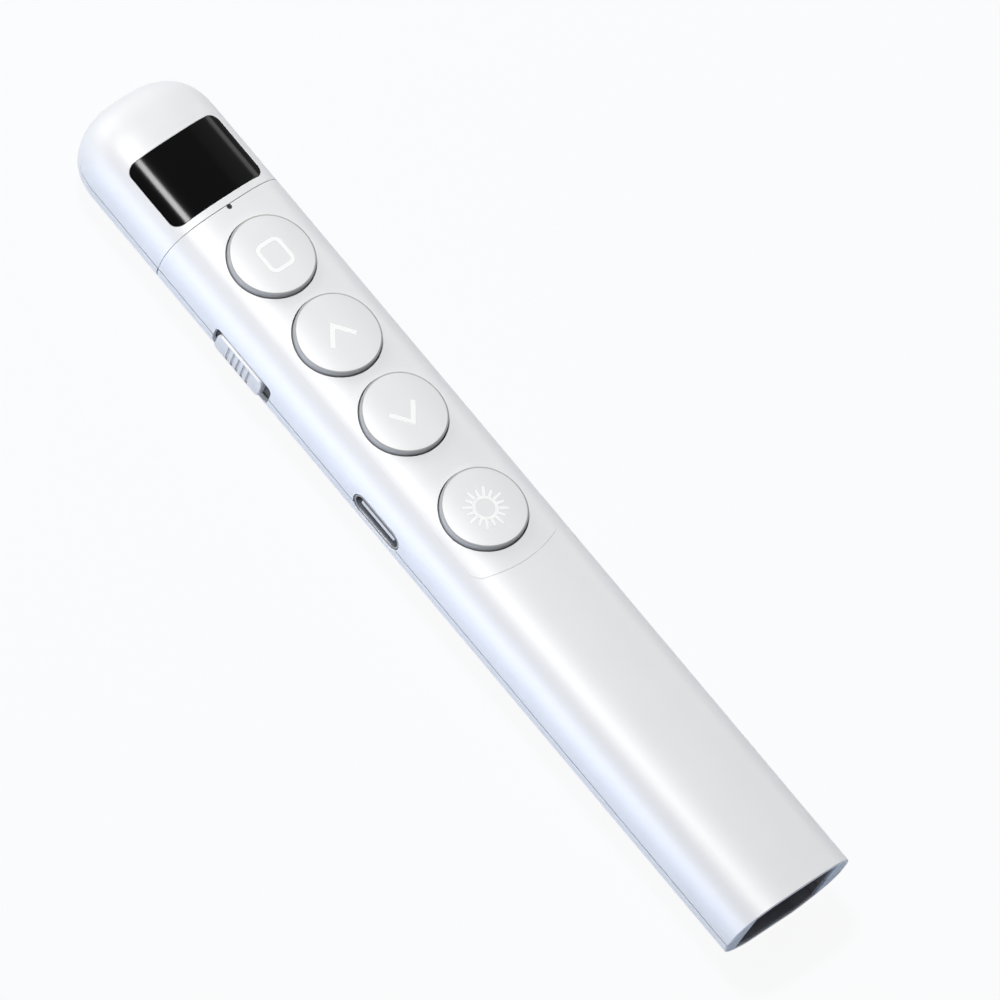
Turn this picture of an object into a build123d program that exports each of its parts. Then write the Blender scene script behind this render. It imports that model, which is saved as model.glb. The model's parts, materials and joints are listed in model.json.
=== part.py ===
from build123d import *
import math
import os

os.makedirs("parts", exist_ok=True)

# A slim wireless presentation clicker, in millimetres.
# X runs across it to the right, Y along it towards the nose, Z up from the flat it rests on.
# The origin is the middle of that flat.

# ---- outer form ----
body_width = 19.8
parting_z = 7.0        # height of the line where the upper and lower mouldings meet
crown_rise = 7.5       # from the parting line up to the crown
crown_radius = 40.9    # the crown is nearly flat
shoulder_radius = 5.33
side_radius = 40.7
keel_side_radius = 6.08
keel_side_turn = 36.7  # degrees that the keel's side turns before the wider curve under it
keel_radius = 9.2
wall = 1.8
nose_wall = 2.3        # the nose is thicker, so that its lip carries on from its wall
nose_hollow_end_y = 62.2
seam_y = 48.3          # the joint between the nose and the handle
nose_start_y = 61.0    # from here forwards the nose rounds off
nose_reach = 8.7       # length of the rounded end
nose_power = 2.5       # superellipse power of the nose, seen from above and from the side
tail_y = -68.9         # the tail's end at the parting line
tail_lean = 6.3        # degrees: the end is cut so that its top edge stands further back
hairline = 0.12        # gap that shows where two mouldings meet
lip_length = 2.2       # how far the nose's lip reaches into the handle
tongue_insets = (0.9, 1.5)     # the lower shell's tongue lies between these depths of the wall
tongue_height = 0.8

# ---- features of the upper side ----
skin = 1.1                     # thickness of the inlaid window and button panel
window_size = (15.2, 10.6)
window_corner = 1.4
window_y = 54.7
window_ledge = 0.9             # ledge that the window lies on
panel_half_width = 7.2
panel_end_y = -13.25
panel_end_bow = 1.65           # how much further the panel's end reaches at its middle
panel_corner = 1.6
button_ys = {"screen": 39.2, "page_up": 25.6, "page_down": 11.9, "pointer": -4.55}
button_radius = 5.87
button_hole_radius = 6.05
button_raise = 0.85
button_edge = 0.28
button_travel = 0.4
ear_size = (12.9, 4.6)         # two ears under the shell keep each button in: span and width
ear_top_z = 11.4
ear_thickness = 0.6
indicator_y = seam_y - 0.35
indicator_radius = 0.37

# ---- features of the left side ----
slot_y, slot_length = 31.22, 11.35
slot_z, slot_height = 7.1, 3.9
knob_y, knob_length = 31.55, 8.9
knob_height = 3.5
knob_raise = 0.35
apron_inset = 0.75             # the black apron under the knob slides behind a thin lip of the shells
apron_thickness = 0.6
groove_pitch = 1.02
groove_width = 0.45
groove_depth = 0.4
switch_travel = 1.4
port_y, port_z = 3.7, 8.0
port_size = (8.94, 3.16)       # outside of a USB-C receptacle's shell
port_mouth_size = (8.34, 2.56)
port_depth = 7.3
port_face_x = -9.75
port_tongue_x = -9.5
port_tongue_size = (6.69, 0.7)

# ---- receiver and its bay ----
plug_size = (12.0, 4.5)        # USB-A plug: width and height
plug_wall = 0.3
plug_length = 13.25
plug_hole_size = (2.5, 2.0)
plug_hole_x = 3.13
plug_hole_from_tip = 5.95
contact_xs = (-3.5, -1.0, 1.0, 3.5)
cap_size = (12.9, 5.1)
cap_length = 8.85
bay_z = 8.0
bay_size = (13.3, 5.5)
bay_wall = 0.9
cap_end_y = -66.8
bay_face_y = -65.7             # the black face that the cap stands out of
bay_face_thickness = 1.4
lining_recess = 0.3            # how far the black lining ends inside the tail
lining_half_width = 6.85
lining_thickness = 0.3
rim_wall = 0.5                 # what is left of the shell's wall above and below the lining
cheek_depth = 3.2              # the shell is solid beside the lining for this length
magnet_radius = 2.5
magnet_length = 1.5

# ---- inside ----
board_thickness = 1.0
board_half_width = 6.7
board_front_y, board_back_y = 57.4, -17.0
key_switch_size = (6.0, 3.2)   # square body of a key switch: side and height
plunger_radius = 1.7
screw_places = [(5.6, 43.0), (-5.6, -14.8)]
screw_radius = 0.8
boss_radius = 1.6
display_size = (12.3, 8.6, 1.3)
display_top_z = 11.3
laser_radius, laser_length = 2.9, 7.4
laser_back_y = 58.4
lens_radius = 1.5
battery_size = (11.0, 21.6, 5.4)
battery_y = -29.5
battery_z = 2.7

board_top = port_z - port_size[1] / 2
board_z = board_top - board_thickness
floor_z = wall
tail_normal = (0, -math.cos(math.radians(tail_lean)), -math.sin(math.radians(tail_lean)))
tail_plane = Plane(origin=(0, tail_y, parting_z), z_dir=tail_normal)
seam_plane = Plane.XZ.offset(-seam_y)
far_back_y = tail_y - 3
top_z = parting_z + crown_rise
ear_z = ear_top_z - ear_thickness
gap = hairline / 2


def save(node, name):
    """Names a finished piece and writes it."""
    node.part.label = name
    export_step(node.part, "parts/" + name + ".step")


def cross_plane(y):
    """Gives the plane across the body at y, seen from the tail, with its origin at the parting line."""
    return Plane(origin=(0, y, parting_z), x_dir=(1, 0, 0), z_dir=(0, -1, 0))


def centre_between(first, first_reach, second, second_reach):
    """Gives the upper right point at these distances from two centres."""
    gap_x, gap_z = second[0] - first[0], second[1] - first[1]
    apart = math.hypot(gap_x, gap_z)
    along = (first_reach ** 2 - second_reach ** 2 + apart ** 2) / (2 * apart)
    aside = math.sqrt(first_reach ** 2 - along ** 2)
    x = first[0] + (gap_x * along - gap_z * aside) / apart
    z = first[1] + (gap_z * along + gap_x * aside) / apart
    return (x, z)


def angle_from(centre, point):
    return math.degrees(math.atan2(point[1] - centre[1], point[0] - centre[0]))


half_width = body_width / 2
side_centre = (half_width - side_radius, 0)
crown_centre = (0, crown_rise - crown_radius)
shoulder_centre = centre_between(side_centre, side_radius - shoulder_radius,
                                 crown_centre, crown_radius - shoulder_radius)
side_end = angle_from(side_centre, shoulder_centre)
crown_end = angle_from(crown_centre, shoulder_centre)
keel_side_centre = (half_width - keel_side_radius, 0)
keel_turn = math.radians(keel_side_turn)
keel_centre = (keel_side_centre[0] - (keel_radius - keel_side_radius) * math.cos(keel_turn),
               (keel_radius - keel_side_radius) * math.sin(keel_turn))


def draw_section(inset, size=1.0):
    """Draws the body's cross-section about the parting line: arcs that run into one another,
    and the resting flat below. inset moves it inwards, size then shrinks it."""
    flat_z = inset - parting_z
    keel_end = math.degrees(math.asin((flat_z - keel_centre[1]) / (keel_radius - inset)))
    right_arcs = [
        (keel_centre, keel_radius, keel_end, -keel_side_turn),
        (keel_side_centre, keel_side_radius, -keel_side_turn, 0),
        (side_centre, side_radius, 0, side_end),
        (shoulder_centre, shoulder_radius, side_end, crown_end),
    ]
    for side in (1, -1):
        for centre, radius, start, end in right_arcs:
            turns = [math.radians(a) for a in (start, (start + end) / 2, end)]
            reach = radius - inset
            points = [(centre[0] + reach * math.cos(a), centre[1] + reach * math.sin(a)) for a in turns]
            ThreePointArc(*[(side * size * x, size * z) for x, z in points])
    crown_x = (crown_radius - inset) * math.cos(math.radians(crown_end)) * size
    crown_z = (crown_centre[1] + (crown_radius - inset) * math.sin(math.radians(crown_end))) * size
    ThreePointArc((-crown_x, crown_z), (0, (crown_rise - inset) * size), (crown_x, crown_z))
    flat_x = (keel_centre[0] + (keel_radius - inset) * math.cos(math.radians(keel_end))) * size
    Line((-flat_x, flat_z * size), (flat_x, flat_z * size))


def length_of_form(inset, front, back):
    """Makes a length of the handle's form between two places along Y, moved inwards by inset."""
    with BuildPart() as form:
        with BuildSketch(cross_plane(front)):
            with BuildLine():
                draw_section(inset)
            make_face()
        extrude(amount=front - back)
    return form.part


# ---- the whole outer form, with its domed nose, overlong at the tail ----
with BuildPart() as outer_form:
    with BuildSketch(cross_plane(nose_start_y)):
        with BuildLine():
            draw_section(0)
        make_face()
    extrude(amount=nose_start_y - far_back_y)
    for reach in (0, 0.3, 0.55, 0.76, 0.91, 0.985):
        with BuildSketch(cross_plane(nose_start_y + nose_reach * reach)):
            with BuildLine():
                draw_section(0, (1 - reach ** nose_power) ** (1 / nose_power))
            make_face()
    loft()

under_skin = length_of_form(skin, nose_start_y, far_back_y)

# ---- the plates let into the upper side ----
def window_plan(shrink):
    """Makes a prism over the window's outline, smaller all round by shrink."""
    with BuildPart() as prism:
        with BuildSketch(Plane.XY.offset(parting_z + 1)):
            with Locations((0, window_y)):
                RectangleRounded(window_size[0] - 2 * shrink, window_size[1] - 2 * shrink, window_corner)
        extrude(amount=crown_rise)
    return prism.part


def panel_plan(shrink):
    """Makes a prism over the button panel's outline, smaller all round by shrink."""
    side = panel_half_width - shrink
    end_y = panel_end_y + shrink
    corner_y = end_y + panel_end_bow
    with BuildPart() as prism:
        with BuildSketch(Plane.XY.offset(parting_z + 1)):
            with BuildLine():
                Polyline((-side, corner_y), (-side, seam_y - shrink), (side, seam_y - shrink), (side, corner_y))
                ThreePointArc((side, corner_y), (0, end_y), (-side, corner_y))
            make_face()
        extrude(amount=crown_rise)
        fillet(prism.edges().filter_by(Axis.Z).group_by(Axis.Y)[0], panel_corner)
    return prism.part


with BuildPart() as display_window:
    add(outer_form.part)
    add(under_skin, mode=Mode.SUBTRACT)
    add(window_plan(gap), mode=Mode.INTERSECT)
save(display_window, "display_window")

with BuildPart() as button_holes:
    with BuildSketch(Plane.XY.offset(parting_z + 2)):
        with Locations(*[(0, y) for y in button_ys.values()]):
            Circle(button_hole_radius)
    extrude(amount=crown_rise)

with BuildPart() as button_panel:
    add(outer_form.part)
    add(under_skin, mode=Mode.SUBTRACT)
    add(panel_plan(gap), mode=Mode.INTERSECT)
    add(button_holes.part, mode=Mode.SUBTRACT)
    with Locations((0, indicator_y, top_z - 2)):
        Cylinder(indicator_radius + gap, 5, mode=Mode.SUBTRACT)
save(button_panel, "button_panel")

with BuildPart() as panel_recess:
    add(panel_plan(0))
    add(under_skin, mode=Mode.SUBTRACT)

with BuildPart() as window_recess:
    add(window_plan(0))
    add(under_skin, mode=Mode.SUBTRACT)

# ---- openings in the left side ----
apron_length = slot_length + 2 * switch_travel
apron_height = slot_height + 0.8

with BuildPart() as apron_pocket:
    add(length_of_form(apron_inset - gap, knob_y + apron_length, knob_y - apron_length))
    with BuildSketch(Plane.YZ.offset(-body_width)):
        with Locations((knob_y - switch_travel / 2, slot_z)):
            Rectangle(apron_length + switch_travel + 2 * hairline, apron_height + 2 * hairline)
    extrude(amount=body_width * 0.75, mode=Mode.INTERSECT)

with BuildPart() as side_openings:
    with BuildSketch(Plane.YZ.offset(-body_width)):
        with Locations((slot_y, slot_z)):
            RectangleRounded(slot_length, slot_height, 0.8)
        with Locations((port_y, port_z)):
            SlotOverall(port_size[0] + 2 * hairline, port_size[1] + 2 * hairline)
    extrude(amount=body_width * 0.75)
    add(apron_pocket.part)

# ---- nose ----
with BuildPart() as nose_shell:
    add(outer_form.part)
    split(bisect_by=seam_plane.offset(-gap), keep=Keep.BOTTOM)
    add(length_of_form(wall + gap, seam_y + wall, seam_y - lip_length))
    add(length_of_form(nose_wall, nose_hollow_end_y, seam_y - lip_length), mode=Mode.SUBTRACT)
    with BuildSketch(cross_plane(laser_back_y + laser_length + gap)):
        Circle(laser_radius + gap)
    extrude(amount=laser_length, mode=Mode.SUBTRACT)
    with BuildSketch(Plane.XY.offset(top_z)):
        with Locations((0, seam_y - lip_length / 2)):
            Rectangle(3 * indicator_radius, lip_length)
    extrude(amount=-crown_rise, mode=Mode.SUBTRACT)
    with BuildSketch(cross_plane(nose_start_y + nose_reach)):
        Circle(lens_radius + gap)
    extrude(amount=nose_reach, mode=Mode.SUBTRACT)

with BuildPart() as nose_cover:
    add(nose_shell.part)
    split(bisect_by=Plane.XY.offset(parting_z + gap), keep=Keep.TOP)
    add(window_recess.part, mode=Mode.SUBTRACT)
    with BuildSketch(Plane.XY.offset(display_top_z - 1)):
        with Locations((0, window_y)):
            RectangleRounded(window_size[0] - 2 * window_ledge, window_size[1] - 2 * window_ledge, 1)
    extrude(amount=crown_rise, mode=Mode.SUBTRACT)
save(nose_cover, "nose_cover")

with BuildPart() as nose_base:
    add(nose_shell.part)
    split(bisect_by=Plane.XY.offset(parting_z - gap), keep=Keep.BOTTOM)
save(nose_base, "nose_base")

# ---- handle shells ----
tail_block_y = bay_face_y + bay_face_thickness

with BuildPart() as between_cheeks:
    with BuildSketch(cross_plane(tail_block_y)):
        Rectangle(2 * lining_half_width, 2 * body_width)
    extrude(amount=tail_block_y - far_back_y)

with BuildPart() as lining_space:
    add(length_of_form(rim_wall, tail_block_y, far_back_y))
    add(between_cheeks.part, mode=Mode.INTERSECT)

with BuildPart() as handle_shell:
    add(outer_form.part)
    add(length_of_form(wall, seam_y + 1, tail_y + cheek_depth), mode=Mode.SUBTRACT)
    add(lining_space.part, mode=Mode.SUBTRACT)
    split(bisect_by=seam_plane.offset(gap), keep=Keep.TOP)
    split(bisect_by=tail_plane, keep=Keep.BOTTOM)
    add(side_openings.part, mode=Mode.SUBTRACT)

with BuildPart() as tongue_groove:
    add(length_of_form(tongue_insets[0] - gap, seam_y, tail_y + cheek_depth))
    add(length_of_form(tongue_insets[1] + gap, seam_y, tail_y + cheek_depth), mode=Mode.SUBTRACT)
    split(bisect_by=Plane.XY.offset(parting_z + tongue_height + gap), keep=Keep.BOTTOM)

with BuildPart() as upper_shell:
    add(handle_shell.part)
    split(bisect_by=Plane.XY.offset(parting_z + gap), keep=Keep.TOP)
    add(panel_recess.part, mode=Mode.SUBTRACT)
    add(button_holes.part, mode=Mode.SUBTRACT)
    add(tongue_groove.part, mode=Mode.SUBTRACT)
    with Locations((0, indicator_y, top_z - 2)):
        Cylinder(indicator_radius + gap, 5, mode=Mode.SUBTRACT)
save(upper_shell, "upper_shell")

with BuildPart() as shell_tongue:
    add(length_of_form(tongue_insets[0], seam_y - 1, tail_y + cheek_depth + 0.5))
    add(length_of_form(tongue_insets[1], seam_y - 1, tail_y + cheek_depth + 0.5), mode=Mode.SUBTRACT)
    split(bisect_by=Plane.XY.offset(parting_z + tongue_height), keep=Keep.BOTTOM)
    split(bisect_by=Plane.XY.offset(parting_z - gap), keep=Keep.TOP)
    add(side_openings.part, mode=Mode.SUBTRACT)

with BuildPart() as lower_shell:
    add(handle_shell.part)
    split(bisect_by=Plane.XY.offset(parting_z - gap), keep=Keep.BOTTOM)
    add(shell_tongue.part)
    with BuildSketch(Plane.XY.offset(floor_z)):
        with Locations(*screw_places):
            Circle(boss_radius)
    extrude(amount=board_z - floor_z)
    with BuildSketch(Plane.XY.offset(floor_z)):
        for end in (-1, 1):
            with Locations((0, battery_y + end * (battery_size[1] / 2 + 0.6))):
                Rectangle(8, 0.9)
    extrude(amount=battery_size[2] / 2)
    with BuildSketch(Plane.XY.offset(floor_z)):
        with Locations(*screw_places):
            Circle(screw_radius)
    extrude(amount=board_z, mode=Mode.SUBTRACT)
save(lower_shell, "lower_shell")

# ---- receiver bay: a black moulding that lines the tail, with the sleeve that the receiver slides in ----
pocket_front = cap_end_y + cap_length + plug_length + 0.4
sleeve_front = pocket_front + bay_wall

with BuildPart() as bay_sleeve:
    with BuildSketch(cross_plane(sleeve_front)):
        with Locations((0, bay_z - parting_z)):
            Rectangle(bay_size[0] + 2 * bay_wall, bay_size[1] + 2 * bay_wall)
    extrude(amount=sleeve_front - tail_block_y + 0.5)
    add(length_of_form(wall + gap, sleeve_front + 1, tail_block_y - 1), mode=Mode.INTERSECT)

with BuildPart() as bay_recess:
    add(length_of_form(rim_wall + gap + lining_thickness, bay_face_y, far_back_y))
    with BuildSketch(cross_plane(bay_face_y)):
        Rectangle(2 * (lining_half_width - lining_thickness), 2 * body_width)
    extrude(amount=bay_face_y - far_back_y, mode=Mode.INTERSECT)

with BuildPart() as receiver_bay:
    add(length_of_form(rim_wall + gap, tail_block_y, far_back_y))
    with BuildSketch(cross_plane(tail_block_y)):
        Rectangle(2 * (lining_half_width - gap), 2 * body_width)
    extrude(amount=tail_block_y - far_back_y, mode=Mode.INTERSECT)
    split(bisect_by=tail_plane.offset(-lining_recess), keep=Keep.BOTTOM)
    add(bay_recess.part, mode=Mode.SUBTRACT)
    add(bay_sleeve.part)
    with BuildSketch(cross_plane(pocket_front)):
        with Locations((0, bay_z - parting_z)):
            Rectangle(*bay_size)
    extrude(amount=pocket_front - far_back_y, mode=Mode.SUBTRACT)
save(receiver_bay, "receiver_bay")

with BuildPart() as dock_magnet:
    with BuildSketch(Plane.XZ.offset(-sleeve_front - magnet_length)):
        with Locations((0, bay_z)):
            Circle(magnet_radius)
    extrude(amount=magnet_length)
save(dock_magnet, "dock_magnet")

# ---- receiver: a USB-A plug with a plastic cap, lying in its bay ----
cap_front_y = cap_end_y + cap_length
plug_tip_y = cap_front_y + plug_length

with BuildPart() as receiver_cap:
    with BuildSketch(Plane.XZ.offset(-cap_front_y)):
        with Locations((0, bay_z)):
            RectangleRounded(*cap_size, 1.1)
    extrude(amount=cap_length)
    chamfer(receiver_cap.faces().sort_by(Axis.Y)[0].edges(), 0.35)
    with BuildSketch(Plane.XZ.offset(-cap_front_y)):
        with Locations((0, bay_z)):
            Rectangle(plug_size[0] - 2 * plug_wall, plug_size[1] - 2 * plug_wall)
    extrude(amount=cap_length - 1.2, mode=Mode.SUBTRACT)
save(receiver_cap, "receiver_cap")

with BuildPart() as receiver_plug_shell:
    with BuildSketch(Plane.XZ.offset(-plug_tip_y)):
        with Locations((0, bay_z)):
            RectangleRounded(*plug_size, 0.5)
            Rectangle(plug_size[0] - 2 * plug_wall, plug_size[1] - 2 * plug_wall, mode=Mode.SUBTRACT)
    extrude(amount=plug_length)
    with BuildSketch(Plane.XY.offset(bay_z - plug_size[1])):
        with Locations((0, plug_tip_y - plug_hole_from_tip)):
            with GridLocations(2 * plug_hole_x, 1, 2, 1):
                Rectangle(*plug_hole_size)
    extrude(amount=2 * plug_size[1], mode=Mode.SUBTRACT)
save(receiver_plug_shell, "receiver_plug_shell")

tongue_inside = (plug_size[0] - 2 * plug_wall, plug_size[1] - 2 * plug_wall)
tongue_floor_z = bay_z - tongue_inside[1] / 2

with BuildPart() as receiver_tongue:
    with BuildSketch(Plane.XZ.offset(-plug_tip_y + 0.4)):
        with Locations((0, tongue_floor_z + 0.95)):
            Rectangle(tongue_inside[0], 1.9)
    extrude(amount=plug_length - 1.4)
    with BuildSketch(Plane.XY.offset(tongue_floor_z + 1.9)):
        with Locations(*[(x, plug_tip_y - 5.4) for x in contact_xs]):
            Rectangle(1.0, 8.0)
    extrude(amount=-0.25, mode=Mode.SUBTRACT)
save(receiver_tongue, "receiver_tongue")

with BuildPart() as receiver_contacts:
    with BuildSketch(Plane.XY.offset(tongue_floor_z + 1.9)):
        with Locations(*[(x, plug_tip_y - 5.4) for x in contact_xs]):
            Rectangle(1.0, 8.0)
    extrude(amount=-0.25)
save(receiver_contacts, "receiver_contacts")

with BuildPart() as receiver_board:
    with BuildSketch(Plane.XY.offset(bay_z - 0.4)):
        with Locations((0, cap_end_y + 5.4)):
            Rectangle(10.4, 8.2)
    extrude(amount=0.8)
    with BuildSketch(Plane.XY.offset(bay_z + 0.4)):
        with Locations((0, cap_end_y + 5.0)):
            Rectangle(4, 4)
    extrude(amount=0.8)
save(receiver_board, "receiver_board")

# ---- buttons ----
raised_form = length_of_form(-button_raise, seam_y, tail_y)

for name, y in button_ys.items():
    with BuildPart() as button:
        with BuildSketch(Plane.XY.offset(ear_z)):
            with Locations((0, y)):
                Circle(button_radius)
        extrude(amount=crown_rise)
        add(raised_form, mode=Mode.INTERSECT)
        chamfer(button.faces().sort_by(Axis.Z)[-1].edges(), button_edge)
        with BuildSketch(Plane.XY.offset(ear_z)):
            with Locations((0, y)):
                Rectangle(*ear_size)
        extrude(amount=ear_thickness)
    save(button, name + "_button")

# ---- slide switch ----
with BuildPart() as power_switch_knob:
    add(length_of_form(-knob_raise, knob_y + knob_length / 2, knob_y - knob_length / 2))
    with BuildSketch(Plane.YZ.offset(-body_width)):
        with Locations((knob_y, slot_z)):
            RectangleRounded(knob_length, knob_height, 0.7)
    extrude(amount=body_width, mode=Mode.INTERSECT)
    add(length_of_form(apron_inset, knob_y + knob_length, knob_y - knob_length), mode=Mode.SUBTRACT)
    with BuildSketch(Plane.YZ.offset(-body_width)):
        with GridLocations(groove_pitch, 1, 5, 1):
            with Locations((knob_y, slot_z)):
                Rectangle(groove_width, knob_height - 0.4)
    extrude(amount=body_width / 2 + groove_depth - knob_raise, mode=Mode.SUBTRACT)
save(power_switch_knob, "power_switch_knob")

with BuildPart() as switch_dust_slide:
    add(length_of_form(apron_inset, knob_y + apron_length / 2, knob_y - apron_length / 2))
    add(length_of_form(apron_inset + apron_thickness, knob_y + apron_length, knob_y - apron_length),
        mode=Mode.SUBTRACT)
    with BuildSketch(Plane.YZ.offset(-body_width)):
        with Locations((knob_y, slot_z)):
            Rectangle(apron_length, apron_height)
    extrude(amount=body_width, mode=Mode.INTERSECT)
    with BuildSketch(Plane.YZ.offset(apron_inset + apron_thickness / 2 - body_width / 2)):
        with Locations((knob_y, slot_z)):
            Rectangle(2.2, 0.8)
    extrude(amount=2.6)
save(switch_dust_slide, "switch_dust_slide")

with BuildPart() as slide_switch:
    with BuildSketch(Plane.XY.offset(board_top)):
        with Locations((-5.2, knob_y - switch_travel / 2)):
            Rectangle(3.6, 9.0)
    extrude(amount=1.9)
    with BuildSketch(Plane.YZ.offset(-body_width / 2)):
        with Locations((knob_y - switch_travel / 2, slot_z)):
            Rectangle(switch_travel + 2.6, 1.1)
    extrude(amount=4.6, mode=Mode.SUBTRACT)
save(slide_switch, "slide_switch")

# ---- charging port ----
with BuildPart() as usb_c_shell:
    with BuildSketch(Plane.YZ.offset(port_face_x)):
        with Locations((port_y, port_z)):
            SlotOverall(*port_size)
    extrude(amount=port_depth)
    with BuildSketch(Plane.YZ.offset(port_face_x)):
        with Locations((port_y, port_z)):
            SlotOverall(*port_mouth_size)
    extrude(amount=port_depth - 0.6, mode=Mode.SUBTRACT)
save(usb_c_shell, "usb_c_shell")

with BuildPart() as usb_c_tongue:
    with BuildSketch(Plane.YZ.offset(port_tongue_x)):
        with Locations((port_y, port_z)):
            RectangleRounded(*port_tongue_size, 0.2)
    extrude(amount=port_face_x + port_depth - 0.6 - port_tongue_x)
save(usb_c_tongue, "usb_c_tongue")

# ---- electronics ----
with BuildPart() as main_board:
    with BuildSketch(Plane.XY.offset(board_z)):
        with Locations((0, (board_front_y + board_back_y) / 2)):
            RectangleRounded(2 * board_half_width, board_front_y - board_back_y, 1)
        with Locations(*screw_places):
            Circle(screw_radius, mode=Mode.SUBTRACT)
    extrude(amount=board_thickness)
save(main_board, "main_board")

plunger_top_z = ear_z - button_travel - hairline

with BuildPart() as key_switches:
    for y in button_ys.values():
        with BuildSketch(Plane.XY.offset(board_top)):
            with Locations((0, y)):
                Rectangle(key_switch_size[0], key_switch_size[0])
        extrude(amount=key_switch_size[1])
        with BuildSketch(Plane.XY.offset(board_top)):
            with Locations((0, y)):
                Circle(plunger_radius)
        extrude(amount=plunger_top_z - board_top)
save(key_switches, "key_switches")

with BuildPart() as radio_shield:
    with BuildSketch(Plane.XY.offset(board_top)):
        with Locations((1.2, 18.7)):
            RectangleRounded(9, 6.4, 0.4)
    extrude(amount=1.8)
save(radio_shield, "radio_shield")

with BuildPart() as charge_chip:
    with BuildSketch(Plane.XY.offset(board_top)):
        with Locations((3.4, 3.6)):
            Rectangle(4, 4)
    extrude(amount=0.9)
save(charge_chip, "charge_chip")

with BuildPart() as indicator_led:
    with BuildSketch(Plane.XY.offset(board_top)):
        with Locations((0, indicator_y)):
            Rectangle(1.6, 0.8)
    extrude(amount=0.7)
save(indicator_led, "indicator_led")

with BuildPart() as indicator_light_pipe:
    with BuildSketch(Plane.XY.offset(board_top + 0.7)):
        with Locations((0, indicator_y)):
            Circle(indicator_radius)
    extrude(amount=top_z - board_top - 0.7)
save(indicator_light_pipe, "indicator_light_pipe")

with BuildPart() as board_screws:
    for x, y in screw_places:
        with BuildSketch(Plane.XY.offset(board_top)):
            with Locations((x, y)):
                Circle(screw_radius + 0.6)
        extrude(amount=0.8)
        with BuildSketch(Plane.XY.offset(board_top)):
            with Locations((x, y)):
                Circle(screw_radius - 0.02)
        extrude(amount=-4)
save(board_screws, "board_screws")

# ---- display ----
display_bottom_z = display_top_z - display_size[2]

with BuildPart() as display_module:
    with BuildSketch(Plane.XY.offset(display_bottom_z)):
        with Locations((0, window_y)):
            Rectangle(display_size[0], display_size[1])
    extrude(amount=display_size[2])
save(display_module, "display_module")

with BuildPart() as display_gasket:
    with BuildSketch(Plane.XY.offset(display_top_z)):
        with Locations((0, window_y)):
            Rectangle(display_size[0], display_size[1])
            Rectangle(display_size[0] - 1.8, display_size[1] - 1.8, mode=Mode.SUBTRACT)
    extrude(amount=crown_rise)
    add(length_of_form(nose_wall, nose_start_y, seam_y), mode=Mode.INTERSECT)
save(display_gasket, "display_gasket")

with BuildPart() as display_holder:
    with BuildSketch(Plane.XY.offset(board_top)):
        with Locations((0, window_y - 0.8)):
            Rectangle(display_size[0], display_size[1] - 1.6)
            Rectangle(display_size[0] - 2, display_size[1] - 3.6, mode=Mode.SUBTRACT)
    extrude(amount=display_bottom_z - board_top)
save(display_holder, "display_holder")

# ---- pointer laser at the nose tip ----
with BuildPart() as laser_module:
    with BuildSketch(cross_plane(laser_back_y)):
        Circle(laser_radius)
    extrude(amount=-laser_length)
    chamfer(laser_module.faces().sort_by(Axis.Y)[-1].edges(), 0.6)
save(laser_module, "laser_module")

with BuildPart() as laser_lens:
    with BuildSketch(cross_plane(laser_back_y + laser_length)):
        Circle(lens_radius)
    extrude(amount=laser_length - nose_reach - nose_start_y + laser_back_y + 0.5)
save(laser_lens, "laser_lens")

# ---- battery ----
with BuildPart() as battery:
    with BuildSketch(cross_plane(battery_y + battery_size[1] / 2)):
        with Locations((0, battery_z + battery_size[2] / 2 - parting_z)):
            RectangleRounded(battery_size[0], battery_size[2], 1.2)
    extrude(amount=battery_size[1])
save(battery, "battery")

with BuildPart() as battery_pad:
    with BuildSketch(Plane.XY.offset(floor_z)):
        with Locations((0, battery_y)):
            Rectangle(6.6, battery_size[1] - 3)
    extrude(amount=battery_z - floor_z)
save(battery_pad, "battery_pad")
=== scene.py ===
import json
import math

import bmesh
import bpy
import numpy as np
from mathutils import Matrix, Vector
from mathutils.geometry import delaunay_2d_cdt


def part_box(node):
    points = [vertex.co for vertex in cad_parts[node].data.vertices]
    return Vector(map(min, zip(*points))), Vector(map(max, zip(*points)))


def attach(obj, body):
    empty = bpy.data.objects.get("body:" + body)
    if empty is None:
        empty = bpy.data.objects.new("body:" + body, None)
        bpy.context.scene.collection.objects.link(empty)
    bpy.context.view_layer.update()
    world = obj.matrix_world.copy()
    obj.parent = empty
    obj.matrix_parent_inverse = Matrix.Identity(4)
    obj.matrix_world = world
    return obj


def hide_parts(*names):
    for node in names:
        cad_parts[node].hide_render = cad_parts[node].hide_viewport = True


mm = 0.001
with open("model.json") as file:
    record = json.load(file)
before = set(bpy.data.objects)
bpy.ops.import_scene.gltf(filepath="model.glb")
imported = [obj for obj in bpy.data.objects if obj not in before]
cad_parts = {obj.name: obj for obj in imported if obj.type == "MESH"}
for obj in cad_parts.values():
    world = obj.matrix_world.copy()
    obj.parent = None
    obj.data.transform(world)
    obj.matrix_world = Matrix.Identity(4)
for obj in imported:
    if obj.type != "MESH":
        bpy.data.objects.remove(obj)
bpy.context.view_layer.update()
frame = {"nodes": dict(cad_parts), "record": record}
print("frame loaded:", len(frame["nodes"]), "nodes")


def boxOf(node):
    # lowest and highest corner of a node, in millimetres
    low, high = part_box(node)
    return np.array(low) / mm, np.array(high) / mm


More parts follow.
